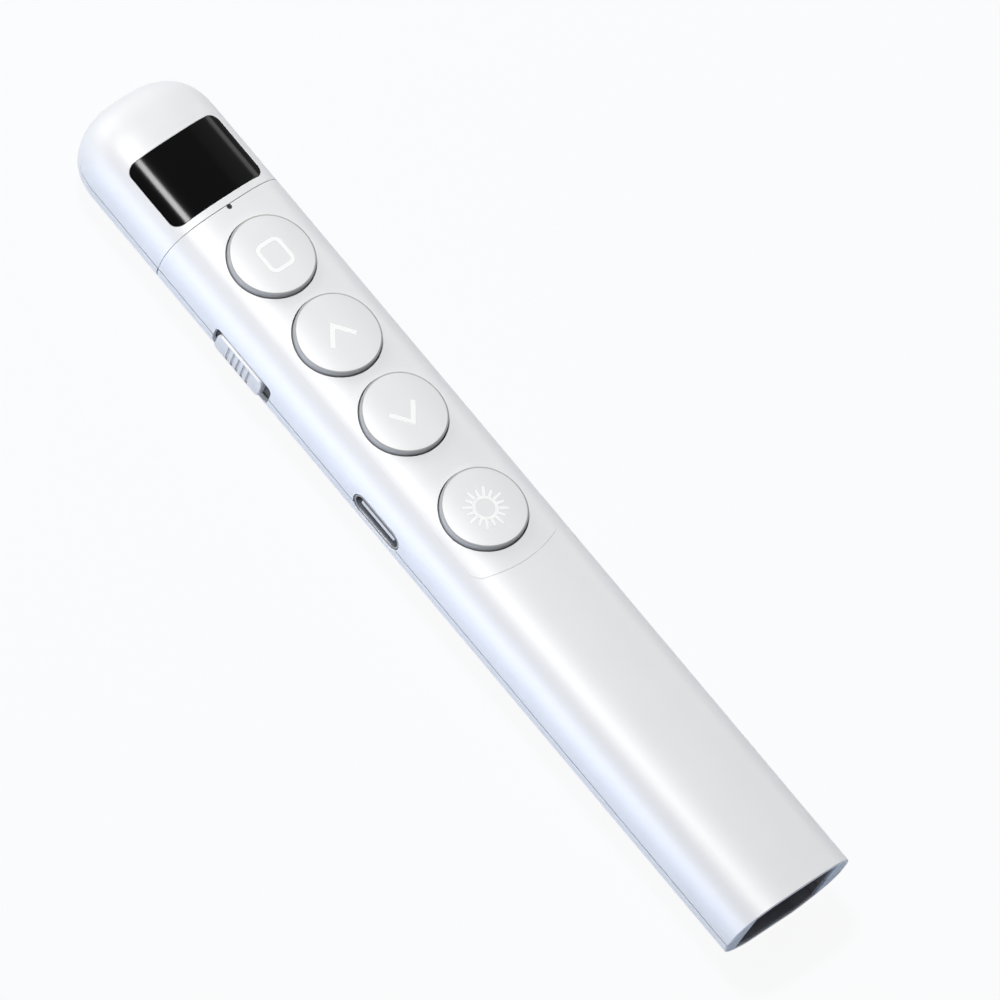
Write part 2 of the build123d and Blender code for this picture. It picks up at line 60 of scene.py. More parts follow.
# the body's form, which every outer piece follows, in millimetres
shellLow, shellHigh = boxOf("upper_shell")
form = {
    "half": (shellHigh[0] - shellLow[0]) / 2,
    "parting": 7.0,          # height of the line between the upper and lower mouldings
    "crownRise": 7.5,
    "crownPower": 3.1,       # higher is a flatter crown with rounder shoulders
    "keelDepth": 7.6,
    "keelPower": 2.0,
    "seam": 48.3,            # joint between nose and handle
    "domeStart": 61.0,
    "domeReach": 8.7,
    "domePower": 2.5,
    "domeCut": 0.985,        # share of the dome where its flat tip begins
    "domeLength": 11.5,      # length given to the dome on the unrolled surface
    "tail": -68.9,
    "lean": math.tan(math.radians(6.3)),
    "gap": 0.03,             # half of the hairline between two mouldings
    "partingGap": 0.085,     # half of the wider line where the upper and lower mouldings meet
    "lowSeamGap": 0.1,       # half of the seam's gap below the parting line
}


def unrollSection(half, rise, power, flat=None, steps=2401):
    # Half of the cross-section as a table over its own arc length: the superellipse
    # |x/half|^power + |z/rise|^power = 1, taken by direction angle from +X to -X,
    # with z held at -flat where the resting flat cuts it. Normals are its gradient.
    angle = np.linspace(0, np.pi, steps)
    radius = (np.abs(np.cos(angle) / half) ** power + np.abs(np.sin(angle) / rise) ** power) ** (-1 / power)
    x, z = radius * np.cos(angle), radius * np.sin(angle)
    nx = np.sign(x) * np.abs(x / half) ** (power - 1) / half
    nz = np.abs(z / rise) ** (power - 1) / rise
    if flat is not None:
        cut = z > flat
        x = np.where(cut, x / np.where(cut, z, 1) * flat, x)
        z = np.where(cut, flat, z)
        nx, nz = np.where(cut, 0, nx), np.where(cut, 1, nz)
    size = np.hypot(nx, nz)
    along = np.concatenate([[0], np.cumsum(np.hypot(np.diff(x), np.diff(z)))])
    return {"s": along, "x": x, "z": z, "nx": nx / size, "nz": nz / size, "length": along[-1]}


crown = unrollSection(form["half"], form["crownRise"], form["crownPower"])
keel = unrollSection(form["half"], form["keelDepth"], form["keelPower"], flat=form["parting"])
keel["z"], keel["nz"] = -keel["z"], -keel["nz"]
for key in ("x", "z", "nx", "nz"):    # the crown runs from the left edge to the right, the keel back again
    crown[key] = crown[key][::-1].copy()
crown["s"] = crown["length"] - crown["s"][::-1]


def domeAt(v):
    # On the unrolled length v: straight to the dome's start, then the superellipse dome, then its flat tip.
    # Gives the section's scale and the place along Y.
    last = math.asin(form["domeCut"] ** (form["domePower"] / 2))
    turn = np.clip((v - form["domeStart"]) / form["domeLength"], 0, 1) * last
    scale = np.cos(turn) ** (2 / form["domePower"])
    reach = form["domeReach"] * np.sin(turn) ** (2 / form["domePower"])
    return scale, np.where(v < form["domeStart"], v, form["domeStart"] + reach)


def onBody(table, s, v):
    # Point and outward normal of the body's surface at arc place s and length v
    x, z = (np.interp(s, table["s"], table[k]) for k in ("x", "z"))
    nx, nz = (np.interp(s, table["s"], table[k]) for k in ("nx", "nz"))
    scale, y = domeAt(v)
    step = 1e-3                       # either way, to measure how fast the section narrows
    scaleNext, yNext = domeAt(v + step)
    scaleBack, yBack = domeAt(v - step)
    # the surface narrows by the section's own reach along its normal, so the normal tips forward by its slope
    slope = (scaleNext - scaleBack) / np.maximum(yNext - yBack, 1e-9)
    ny = -slope * (x * nx + z * nz)
    points = np.stack([x * scale, y, form["parting"] + z * scale], axis=-1)
    normals = np.stack([nx, ny, nz], axis=-1)
    return points, normals / np.linalg.norm(normals, axis=-1, keepdims=True)


def inside(points, loop):
    # Even-odd test of many points against one closed outline, by counting edges to the right
    a, b = loop, np.roll(loop, -1, axis=0)
    px, py = points[:, :1], points[:, 1:]
    rises = (a[:, 1] > py) != (b[:, 1] > py)
    with np.errstate(divide="ignore", invalid="ignore"):
        crossing = (b[:, 0] - a[:, 0]) * (py - a[:, 1]) / (b[:, 1] - a[:, 1]) + a[:, 0]
    return (np.sum(rises & (px < crossing), axis=1) % 2) == 1


def resample(loop, spacing):
    # The outline again, with a point at every corner and others at most spacing apart
    ends = np.roll(loop, -1, axis=0)
    counts = np.maximum(np.ceil(np.linalg.norm(ends - loop, axis=1) / spacing).astype(int), 1)
    start = np.repeat(np.arange(len(loop)), counts)
    share = np.concatenate([np.arange(n) / n for n in counts])[:, None]
    return loop[start] * (1 - share) + ends[start] * share


def signedArea(loop):
    # Half the sum of the edges' cross products: positive when the outline runs anticlockwise
    x, y = loop[:, 0], loop[:, 1]
    return 0.5 * np.sum(x * np.roll(y, -1) - np.roll(x, -1) * y)


def drawIn(loop, amount):
    # The outline moved towards its own left by amount, mitred at the corners
    ahead = np.roll(loop, -1, axis=0) - loop
    ahead /= np.linalg.norm(ahead, axis=1, keepdims=True)
    left = np.stack([-ahead[:, 1], ahead[:, 0]], axis=1)
    before = np.roll(left, 1, axis=0)
    mitre = (left + before) / np.maximum(1 + np.sum(left * before, axis=1, keepdims=True), 0.3)
    return loop + mitre * np.reshape(amount, (-1, 1))


def addPiece(name, points, faces, normals, material, body, stands=()):
    # Puts arrays in millimetres into a mesh with its own smooth normals, and hangs it on its body
    mesh = bpy.data.meshes.new(name)
    mesh.from_pydata((points * mm).tolist(), [], [list(map(int, f)) for f in faces])
    mesh.polygons.foreach_set("use_smooth", np.ones(len(mesh.polygons), bool))
    mesh.validate()
    if normals is None:
        mesh.set_sharp_from_angle(angle=math.radians(40))
    else:
        mesh.normals_split_custom_set_from_vertices(normals.tolist())
    piece = bpy.data.objects.new(name, mesh)
    bpy.context.scene.collection.objects.link(piece)
    piece.data.materials.append(material)
    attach(piece, body)
    if stands:
        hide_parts(*stands)
    return piece


def joined(parts):
    # One point array and one face list from several pairs of them, each face's numbers moved on by the points
    # that come before it
    starts = np.cumsum([0] + [len(points) for points, _ in parts])
    faces = [[i + start for i in face] for (_, own), start in zip(parts, starts) for face in own]
    return np.concatenate([points for points, _ in parts]), faces


def within(points, rings):
    # inside the first outline and outside all the others
    keep = inside(points, rings[0])
    for ring in rings[1:]:
        keep &= ~inside(points, ring)
    return keep


def plateTriangles(rings, columnStep, rowStep, rim):
    # Delaunay triangles over the outlines' points and a grid between them, which stays 0.4 of the rim's
    # spacing away from them so that no slivers form. Gives the plan points, the triangles and each outline
    # point's place among the plan points.
    low, high = rings[0].min(axis=0), rings[0].max(axis=0)
    columns = np.arange(low[0] + columnStep / 2, high[0], columnStep)
    rows = np.arange(low[1] + rowStep / 2, high[1], rowStep)
    grid = np.stack(np.meshgrid(columns, rows), axis=-1).reshape(-1, 2)
    grid = grid[within(grid, rings)]
    border = np.concatenate(rings)
    nearest = np.array([np.min(np.hypot(*(border - g).T)) for g in grid])
    given = np.concatenate([border, grid[nearest > rim * 0.4]])
    edges, start = [], 0
    for ring in rings:
        count = len(ring)
        edges += [(start + k, start + (k + 1) % count) for k in range(count)]
        start += count
    made = delaunay_2d_cdt([Vector(p) for p in given.tolist()], edges, [], 0, 1e-7)
    plan = np.array([list(v) for v in made[0]])
    triangles = np.array(made[2])
    place = np.full(len(given), -1)
    for index, sources in enumerate(made[3]):
        place[sources] = index
    return plan, triangles[within(plan[triangles].mean(axis=1), rings)], place


def plateOnBody(table, outer, holes, edge, depth, columnStep=0.35, rowStep=2.5, rim=0.35, edgeSteps=3):
    # A plate cut from the body's surface: inside one outline and outside the others, given as (s, v).
    # Its outer edges are rounded by a quarter circle of radius edge(places), its walls go down by depth(v),
    # and its underside is the same surface moved inwards, so it closes.
    loops = [outer if signedArea(outer) > 0 else outer[::-1]]
    loops += [hole if signedArea(hole) < 0 else hole[::-1] for hole in holes]
    loops = [resample(loop, rim) for loop in loops]
    radii = [edge(loop) for loop in loops]
    rings = [drawIn(loop, radius) for loop, radius in zip(loops, radii)]
    plan, triangles, place = plateTriangles(rings, columnStep, rowStep, rim)

    top, topNormals = onBody(table, plan[:, 0], plan[:, 1])
    drop = depth(plan[:, 1])[:, None]
    points, normals = [top, top - topNormals * drop], [topNormals, -topNormals]
    faces = triangles.tolist() + (triangles[:, ::-1] + len(top)).tolist()
    total, start = 2 * len(top), 0
    for ring, radius in zip(rings, radii):
        count = len(ring)
        bevel = radius[:, None]
        index = place[start:start + count]
        start += count
        p, n, d = top[index], topNormals[index], drop[index]
        tangent = np.roll(p, -1, axis=0) - np.roll(p, 1, axis=0)
        tangent /= np.linalg.norm(tangent, axis=1, keepdims=True)
        inward = np.cross(n, tangent)
        lines = [index]
        for turn in np.linspace(0, np.pi / 2, edgeSteps + 1)[1:]:
            points.append(p - inward * bevel * math.sin(turn) - n * bevel * (1 - math.cos(turn)))
            normals.append(n * math.cos(turn) - inward * math.sin(turn))
            lines.append(np.arange(total, total + count))
            total += count
        points.append(p - inward * bevel - n * d)
        normals.append(-inward)
        lines.append(np.arange(total, total + count))
        total += count
        lines.append(index + len(top))
        for a, b in zip(lines[:-1], lines[1:]):
            faces += np.stack([a, b, np.roll(b, -1), np.roll(a, -1)], axis=1).tolist()
    return np.concatenate(points), faces, np.concatenate(normals)


def newMaterial(name):
    # Gives the material, its node tree and its shader
    material = bpy.data.materials.new(name)
    material.use_nodes = True
    return material, material.node_tree, material.node_tree.nodes["Principled BSDF"]


def addNoise(tree, scale, detail=2.0, stretch=(1, 1, 1)):
    # A noise pattern on the object's own coordinates, stretched along its axes
    coordinates = tree.nodes.new("ShaderNodeTexCoord")
    mapping = tree.nodes.new("ShaderNodeMapping")
    mapping.inputs["Scale"].default_value = stretch
    noise = tree.nodes.new("ShaderNodeTexNoise")
    noise.inputs["Scale"].default_value = scale
    noise.inputs["Detail"].default_value = detail
    tree.links.new(coordinates.outputs["Object"], mapping.inputs["Vector"])
    tree.links.new(mapping.outputs["Vector"], noise.inputs["Vector"])
    return noise


def spread(tree, value, low, high):
    # Maps a 0..1 value onto low..high
    ranged = tree.nodes.new("ShaderNodeMapRange")
    ranged.inputs["To Min"].default_value = low
    ranged.inputs["To Max"].default_value = high
    tree.links.new(value, ranged.inputs["Value"])
    return ranged.outputs["Result"]


def blendColors(tree, value, first, second):
    # The first colour below 0.35 of the value, the second above 0.65, and a straight blend between
    ramp = tree.nodes.new("ShaderNodeValToRGB")
    ramp.color_ramp.elements[0].position = 0.35
    ramp.color_ramp.elements[1].position = 0.65
    ramp.color_ramp.elements[0].color = (*first, 1)
    ramp.color_ramp.elements[1].color = (*second, 1)
    tree.links.new(value, ramp.inputs["Fac"])
    return ramp.outputs["Color"]


def colorAndRoughness(tree, shader, value, colors, roughness):
    # One pattern drives both: it blends the two colours and takes the roughness from low to high
    tree.links.new(blendColors(tree, value, *colors), shader.inputs["Base Color"])
    tree.links.new(spread(tree, value, *roughness), shader.inputs["Roughness"])


def addBump(tree, shader, value, distance):
    # Raises the surface's shading by up to distance, in metres, where the value is 1
    bump = tree.nodes.new("ShaderNodeBump")
    bump.inputs["Distance"].default_value = distance
    tree.links.new(value, bump.inputs["Height"])
    tree.links.new(bump.outputs["Normal"], shader.inputs["Normal"])


def mouldedPlastic(name, color, roughness, grain=0.000002, grainScale=9000, pearl=0.0, mottle=0.012):
    # Moulded plastic: fine spark-eroded grain in the bump, a slow drift in roughness and a trace in colour;
    # pearl is the share of mica flakes, which give a satin sheen
    material, tree, shader = newMaterial(name)
    slow = addNoise(tree, 130, 3).outputs["Fac"]
    fine = addNoise(tree, grainScale, 1).outputs["Fac"]
    darker = tuple(c * (1 - mottle) for c in color)
    colorAndRoughness(tree, shader, slow, (darker, color), (roughness - 0.02, roughness + 0.02))
    shader.inputs["Specular IOR Level"].default_value = 0.5
    shader.inputs["Metallic"].default_value = pearl
    addBump(tree, shader, fine, grain)
    return material


def brushedMetal(name, color, roughness, stretch=(1, 40, 40)):
    # Rolled or drawn metal: streaks along one axis in roughness and bump
    material, tree, shader = newMaterial(name)
    streaks = addNoise(tree, 700, 4, stretch).outputs["Fac"]
    darker = tuple(c * 0.93 for c in color)
    colorAndRoughness(tree, shader, streaks, (darker, color), (roughness - 0.06, roughness + 0.06))
    shader.inputs["Metallic"].default_value = 1
    addBump(tree, shader, streaks, 0.000002)
    return material


def displayGlass(name):
    # Black backed window: nearly mirror-smooth over black, with the faintest waviness of a moulded lens
    material, tree, shader = newMaterial(name)
    wave = addNoise(tree, 60, 1).outputs["Fac"]
    colorAndRoughness(tree, shader, wave, ((0.0008, 0.0008, 0.001), (0.0014, 0.0014, 0.0016)), (0.13, 0.15))
    shader.inputs["Specular IOR Level"].default_value = 0.06
    addBump(tree, shader, wave, 0.000004)
    return material


def circuitBoard(name):
    # Solder mask over copper: short traces in the colour, glossier between them
    material, tree, shader = newMaterial(name)
    traces = addNoise(tree, 900, 0, (1, 0.3, 1)).outputs["Fac"]
    colorAndRoughness(tree, shader, traces, ((0.012, 0.10, 0.05), (0.03, 0.17, 0.09)), (0.25, 0.45))
    return material


def keyPaint(name, glow):
    # White paint with a faint glow, painted light that keeps the icons brighter than the lamps alone make
    # them
    material = mouldedPlastic(name, (0.97, 0.97, 0.97), 0.45, grain=0.000001, mottle=0.005)
    shader = material.node_tree.nodes["Principled BSDF"]
    shader.inputs["Emission Color"].default_value = (1, 1, 1, 1)
    shader.inputs["Emission Strength"].default_value = glow
    return material


plasticWhite = {"color": (0.82, 0.825, 0.835), "roughness": 0.48, "pearl": 0.1}
buttonWhite = {"color": (0.71, 0.714, 0.722), "roughness": 0.54, "pearl": 0.25}
finishes = {
    "shell_white": mouldedPlastic("whiteSatinPlastic", **plasticWhite),
    "panel_white": mouldedPlastic("whitePanelPlastic", **plasticWhite),
    "button_white": mouldedPlastic("whiteButtonPlastic", **buttonWhite),
    "black_gloss": displayGlass("blackWindow"),
    "black_plastic": mouldedPlastic("blackPlastic", (0.05, 0.052, 0.06), 0.5, mottle=0.2),
    "smoke_plastic": mouldedPlastic("smokedLightPipe", (0.02, 0.02, 0.024), 0.15, mottle=0.2),
    "foam": mouldedPlastic("blackFoam", (0.03, 0.03, 0.03), 0.9, grain=0.0001, grainScale=2500, mottle=0.3),
    "steel": brushedMetal("rolledSteel", (0.72, 0.73, 0.75), 0.26, (40, 1, 40)),
    "nickel": brushedMetal("nickelPlate", (0.78, 0.76, 0.73), 0.18),
    "brass": brushedMetal("turnedBrass", (0.74, 0.56, 0.28), 0.25, (1, 40, 1)),
    "gold": brushedMetal("goldPlate", (0.88, 0.67, 0.32), 0.2),
    "foil": brushedMetal("batteryFoil", (0.68, 0.69, 0.72), 0.38, (1, 6, 1)),
    "board_green": circuitBoard("greenBoard"),
    "lens": mouldedPlastic("redLens", (0.25, 0.02, 0.02), 0.08, mottle=0.2),
}
# the icons glow a little: painted light
iconPaint = keyPaint("iconPaint", 0.11)
# grey on the buttons' sides is painted shade for the dark ring round each button
buttonSideShade = mouldedPlastic("greyButtonWall", (0.42, 0.42, 0.415), 0.45, mottle=0.03)
# blue-grey on the tail's cheeks is painted shade for the end face, which faces away from the lamps
cheekShadePaint = mouldedPlastic("coolCheekPlastic", (0.6, 0.66, 0.76), 0.5)
ownFinish = {       # nodes whose finish differs from their slot's
    "receiver_bay": mouldedPlastic("greyBayPlastic", (0.16, 0.16, 0.175), 0.5, mottle=0.2),
    # the port's steel is darkened: painted shade for the dark reflections inside the port
    "usb_c_shell": brushedMetal("darkPortSteel", (0.30, 0.31, 0.33), 0.35, (40, 1, 40)),
}
slotOf = {row["node"]: row["material_slot"] for row in frame["record"]["subparts"]}
for nodeName, node in frame["nodes"].items():
    node.data.materials.clear()
    node.data.materials.append(ownFinish.get(nodeName, finishes[slotOf[nodeName]]))
print("materials made:", len(finishes) + len(ownFinish) + 3)


def even(value):
    # the same edge radius or wall depth at every place
    return lambda places: np.full(len(places), value)


def crownAt(x):
    # place on the crown at x, counted from its left edge
    return np.interp(x, crown["x"], crown["s"])


def crownPlaces(plan):
    # points seen from above, (x, y), as places (s, v) on the crown
    return np.stack([crownAt(plan[:, 0]), plan[:, 1]], axis=1)


def leftCrownAt(z):
    # place on the crown's left side at height z above the parting line
    left = slice(len(crown["x"]) // 2)
    return np.interp(z, crown["z"][left], crown["s"][left])


def leftKeelAt(z):
    # place on the keel's left side at height z, which is negative
    side = slice(len(keel["z"]) // 2, None)
    curve = keel["nz"][side] > -0.999          # leaves out the resting flat
    return np.interp(z, keel["z"][side][curve], keel["s"][side][curve])


def arc(centre, radius, start, stop, count=9):
    # points on a circle from one angle to another, in degrees
    turn = np.radians(np.linspace(start, stop, count))
    return np.stack([centre[0] + radius * np.cos(turn), centre[1] + radius * np.sin(turn)], axis=1)


def roundedRectangle(middle, half, corner):
    # four quarter circles, each set in by its radius from a corner
    quarters = []
    for sx, sy, start in ((1, 1, 0), (-1, 1, 90), (-1, -1, 180), (1, -1, 270)):
        centre = (middle[0] + sx * (half[0] - corner), middle[1] + sy * (half[1] - corner))
        quarters.append(arc(centre, corner, start, start + 90))
    return np.concatenate(quarters)


# openings in the left side, along Y and in height above the parting line
slot = {"noseEnd": 36.895, "tailEnd": 25.545, "top": 2.05, "bottom": -1.85, "corner": 0.8}
port = {"y": 3.7, "z": 1.0, "half": 2.89, "radius": 1.70}


def leftNotches(above):
    # The slide switch's slot and the charging port, as far as they lie above or below the parting line,
    # as two runs of (y, z) points from the nose towards the tail
    side = 1 if above else -1
    line = side * form["partingGap"]
    edge = slot["top"] if above else slot["bottom"]
    inner = edge - side * slot["corner"]
    front = arc((slot["noseEnd"] - slot["corner"], inner), slot["corner"], 0, side * 90)
    back = arc((slot["tailEnd"] + slot["corner"], inner), slot["corner"], side * 90, side * 180)
    slotRun = np.concatenate([[[slot["noseEnd"], line]], front, back, [[slot["tailEnd"], line]]])
    meet = math.degrees(math.asin((line - port["z"]) / port["radius"]))
    ahead = arc((port["y"] + port["half"], port["z"]), port["radius"], meet, side * 90, 14)
    behind = arc((port["y"] - port["half"], port["z"]), port["radius"], side * 90, side * 180 - meet, 14)
    return slotRun, np.concatenate([ahead, behind])


def tailLine(table, places):
    # the tail's end leans back with height
    return form["tail"] - form["lean"] * np.interp(places, table["s"], table["z"])


# the shells' wall, thin at the tail's opening and round the slide switch, with short steps between
skin = {"wall": 1.5, "atTail": 0.5, "tailTo": -65.4, "atSwitch": 0.6, "switchFrom": 22.2, "switchTo": 39.4,
        "step": 0.6}


def skinDepth(v):
    # thickness along the body, straight between the places where it changes
    step = skin["step"]
    places = [skin["tailTo"], skin["tailTo"] + step, skin["switchFrom"], skin["switchFrom"] + step,
              skin["switchTo"] - step, skin["switchTo"]]
    depths = [skin["atTail"], skin["wall"], skin["wall"], skin["atSwitch"], skin["atSwitch"], skin["wall"]]
    return np.interp(v, places, depths)


edgeRadius = {"shell": 0.05, "panel": 0.03, "panelSide": 0.004, "tail": 0.1, "tailReach": 2}
panel = {"side": 7.2, "bow": 1.65, "end": -13.25, "corner": 1.6, "cornerRise": 0.62, "sideGap": 0.006,
         "endGap": 0.02, "wall": 1.1, "rowStep": 1.2}
recess = {"side": 0.05, "end": 0.5, "seam": 0.2}      # how far round the panel its recess's edges are found


def panelOutline(shrink):
    # Button panel seen from above, from its left side to its right: its end is an arc that bows by "bow", and
    # in each corner it also rises with the cube of the way into that corner
    side, end = panel["side"] - shrink, panel["end"] + shrink
    bowRadius = (side ** 2 + panel["bow"] ** 2) / (2 * panel["bow"])
    x = np.linspace(-side, side, 61)
    bow = end + bowRadius - np.sqrt(bowRadius ** 2 - x ** 2)
    corner = np.clip(np.abs(x) - (side - panel["corner"]), 0, None)
    y = bow + panel["corner"] * panel["cornerRise"] * (corner / panel["corner"]) ** 3
    return np.stack([x, y], axis=1)


def panelEdge(places):
    # the panel's long sides are moulded tight, so their edges are hardly rounded
    x = np.interp(places[:, 0], crown["s"], crown["x"])
    side = np.abs(np.abs(x) - panel["side"]) < recess["side"]
    side &= places[:, 1] > panel["end"] + panel["bow"] + panel["corner"]
    return np.where(side, edgeRadius["panelSide"], edgeRadius["panel"])


def shellEdge(places):
    # rounder round the tail
    nearTail = places[:, 1] < form["tail"] + edgeRadius["tailReach"]
    return np.where(nearTail, edgeRadius["tail"], edgeRadius["shell"])


def upperEdge(places):
    # as shellEdge, but the recess has the panel's edges
    x, y = np.interp(places[:, 0], crown["s"], crown["x"]), places[:, 1]
    inRecess = np.abs(x) < panel["side"] + recess["side"]
    inRecess &= (y > panel["end"] - recess["end"]) & (y < form["seam"] - recess["seam"])
    return np.where(inRecess, panelEdge(places), shellEdge(places))


def addPlate(name, table, outer, holes, edge, depth, slotName, nodeName, rowStep=2.5):
    # a housing plate that takes its node's place
    points, faces, normals = plateOnBody(table, outer, holes, edge, depth, rowStep=rowStep)
    addPiece(name, points, faces, normals, finishes[slotName], "housing", [nodeName])
    print(name + ":", len(points), "points")


# upper shell: the crown's strip from tail to seam, open where the button panel lies
firstPlace = leftCrownAt(form["partingGap"])
lastPlace = crown["length"] - firstPlace
across = np.linspace(firstPlace, lastPlace, 90)
tailRun = np.stack([across, tailLine(crown, across)], axis=1)
seamV = form["seam"] - form["gap"]
slotRun, portRun = (np.stack([leftCrownAt(run[:, 1]), run[:, 0]], axis=1) for run in leftNotches(True))
outline = np.concatenate([
    tailRun, [[lastPlace, seamV], [crownAt(panel["side"]), seamV]], crownPlaces(panelOutline(0)[::-1]),
    [[crownAt(-panel["side"]), seamV], [firstPlace, seamV]], slotRun, portRun])
addPlate("upperShell", crown, outline, [], upperEdge, skinDepth, "shell_white", "upper_shell")

# lower shell: the keel's strip
lastKeel = leftKeelAt(-form["partingGap"])
firstKeel = keel["length"] - lastKeel
across = np.linspace(lastKeel, firstKeel, 121)
tailRun = np.stack([across, tailLine(keel, across)], axis=1)
seamV = form["seam"] - form["lowSeamGap"]
slotRun, portRun = (np.stack([leftKeelAt(run[:, 1]), run[:, 0]], axis=1) for run in leftNotches(False))
outline = np.concatenate([tailRun, [[firstKeel, seamV], [lastKeel, seamV]], slotRun, portRun])
addPlate("lowerShell", keel, outline, [], shellEdge, skinDepth, "shell_white", "lower_shell")

# cheeks: the shell is solid beside the dark opening in its tail, from side to side of the end face
cheek = {"inner": 6.85, "depth": 3.2, "overlap": 0.25, "edge": 0.08}


def prism(outline, place, depth, edge, steps=4):
    # A closed piece with the outline (x, height) as its cross-section: place(points, d) gives where the
    # outline lies at depth d, and the front edge is a quarter circle of radius edge
    loop = outline if signedArea(outline) > 0 else outline[::-1]
    turns = np.linspace(0, np.pi / 2, steps)
    loops = [drawIn(loop, edge * (1 - math.sin(t))) for t in turns]
    depths = [edge * (1 - math.cos(t)) for t in turns]
    loops.append(loops[-1])
    depths.append(depth)
    points = np.concatenate([place(l, d) for l, d in zip(loops, depths)])
    index = np.arange(len(points)).reshape(-1, len(loop))
    following = np.roll(index, -1, axis=1)
    faces = np.stack([following[:-1], following[1:], index[1:], index[:-1]], axis=-1).reshape(-1, 4).tolist()
    faces += [index[0].tolist(), index[-1][::-1].tolist()]
    return points, faces


def atTail(points, d):
    # the leaning end face, moved d into the body
    y = form["tail"] - form["lean"] * points[:, 1] + d
    return np.stack([points[:, 0], y, form["parting"] + points[:, 1]], axis=1)


def sectionRun(table, first, last, inset):
    # part of the section as (x, z) points, moved inwards by inset
    places = np.linspace(first, last, 40)
    x, z, nx, nz = (np.interp(places, table["s"], table[k]) for k in ("x", "z", "nx", "nz"))
    return np.stack([x - nx * inset, z - nz * inset], axis=1)


def placeAtX(table, x, inset):
    # place on the section, moved inwards by inset, that lies at x
    shifted = table["x"] - table["nx"] * inset
    order = np.argsort(shifted)
    return np.interp(x, shifted[order], table["s"][order])


def cheekOutline(table, side, partingPlace):
    # from the parting line round the section to the opening's edge, then straight back down that edge
    inner = side * cheek["inner"]
    run = sectionRun(table, partingPlace, placeAtX(table, inner, cheek["overlap"]), cheek["overlap"])
    return np.concatenate([run, [[inner, run[0, 1]]]])


sides = {"upper": (crown, (firstPlace, lastPlace)), "lower": (keel, (lastKeel, firstKeel))}
for level, (table, places) in sides.items():
    outlines = [cheekOutline(table, side, place) for side, place in zip((-1, 1), places)]
    points, faces = joined([prism(outline, atTail, cheek["depth"], cheek["edge"]) for outline in outlines])
    # the cheeks wear the blue-grey painted shade of the end face
    addPiece(level + "TailCheeks", points, faces, None, cheekShadePaint, "housing")
print("shells made")

# nose cover, open at its window, and nose base: the same surfaces carried on over the dome, to its flat tip
nose = {"wall": 1.4, "rowStep": 0.6}
window = {"width": 15.2, "length": 10.6, "corner": 1.4, "middle": 54.7, "wall": 1.0, "rim": 0.3}
tipV = form["domeStart"] + form["domeLength"]


def windowOutline(shrink):
    # the window's rounded rectangle, with its sides moved inwards by shrink
    half = (window["width"] / 2 - shrink, window["length"] / 2 - shrink)
    return crownPlaces(roundedRectangle((0, window["middle"]), half, window["corner"]))


def noseStrip(first, last, seamV):
    # the four corners of a strip from the seam to the tip
    return np.array([[first, seamV], [last, seamV], [last, tipV], [first, tipV]])


hole = resample(windowOutline(0), window["rim"])
addPlate("noseCover", crown, noseStrip(firstPlace, lastPlace, form["seam"] + form["gap"]), [hole],
         even(edgeRadius["shell"]), even(nose["wall"]), "shell_white", "nose_cover", nose["rowStep"])
addPlate("noseBase", keel, noseStrip(lastKeel, firstKeel, form["seam"] + form["lowSeamGap"]), [],
         even(edgeRadius["shell"]), even(nose["wall"]), "shell_white", "nose_base", nose["rowStep"])
addPlate("displayWindow", crown, windowOutline(form["gap"]), [],
         even(edgeRadius["panel"]), even(window["wall"]), "black_gloss", "display_window", nose["rowStep"])


def throughLoops(loops):
    # A closed surface through a closed series of closed loops that all have the same number of points,
    # turned so that its signed volume is positive
    points = np.concatenate(loops)
    index = np.arange(len(points)).reshape(len(loops), -1)
    beside, ahead = np.roll(index, -1, axis=1), np.roll(index, -1, axis=0)
    faces = np.stack([index, ahead, np.roll(ahead, -1, axis=1), beside], axis=-1).reshape(-1, 4)
    a, b, c, d = (points[faces[:, k]] for k in range(4))
    volume = np.sum(a * np.cross(b, c)) + np.sum(a * np.cross(c, d))
    return points, (faces if volume > 0 else faces[:, ::-1]).tolist()


# nose tip: the dome's flat end, pierced for the laser, as rings that pass from its outline to the bore
tip = {"bore": 1.68, "edge": 0.16, "depth": 0.8}


def tipReach(turn):
    # the section's reach in direction turn, with the crown's form above the parting line and the keel's below
    above = np.sin(turn) > 0
    power = np.where(above, form["crownPower"], form["keelPower"])
    height = np.where(above, form["crownRise"], form["keelDepth"])
    total = np.abs(np.cos(turn) / form["half"]) ** power + np.abs(np.sin(turn) / height) ** power
    return total ** (-1 / power)


tipScale, tipY = domeAt(np.array(tipV))
turn = np.linspace(0, 2 * np.pi, 97)[:-1]
bevel = np.linspace(0, np.pi / 2, 4)
ringRadii = [tipScale * tipReach(turn)] * 2 + [tip["bore"] + tip["edge"] * (1 - math.sin(b)) for b in bevel]
ringDepths = [tip["depth"], 0.0] + [tip["edge"] * (1 - math.cos(b)) for b in bevel]
ringRadii.append(tip["bore"])
ringDepths.append(tip["depth"])
loops = []
for r, d in zip(ringRadii, ringDepths):
    x, z = r * np.cos(turn), form["parting"] + r * np.sin(turn)
    loops.append(np.column_stack([x, np.full(len(turn), tipY - d), z]))
points, faces = throughLoops(loops)
addPiece("noseTip", points, faces, None, finishes["shell_white"], "housing")

# collar: a black strip under the joint between nose and handle, painted shade that darkens the joint where
# the nose's lip is white
shadeCollar = {"outer": 0.6, "inner": 1.1, "half": 1.1}
loops = []
for inset, side in (("outer", -1), ("outer", 1), ("inner", 1), ("inner", -1)):
    sections = [sectionRun(table, 0, table["length"], shadeCollar[inset])[:-1] for table in (crown, keel)]
    x, z = np.concatenate(sections).T
    y = np.full(len(x), form["seam"] + side * shadeCollar["half"])
    loops.append(np.column_stack([x, y, form["parting"] + z]))
points, faces = throughLoops(loops)
addPiece("jointCollar", points, faces, None, finishes["black_plastic"], "housing")

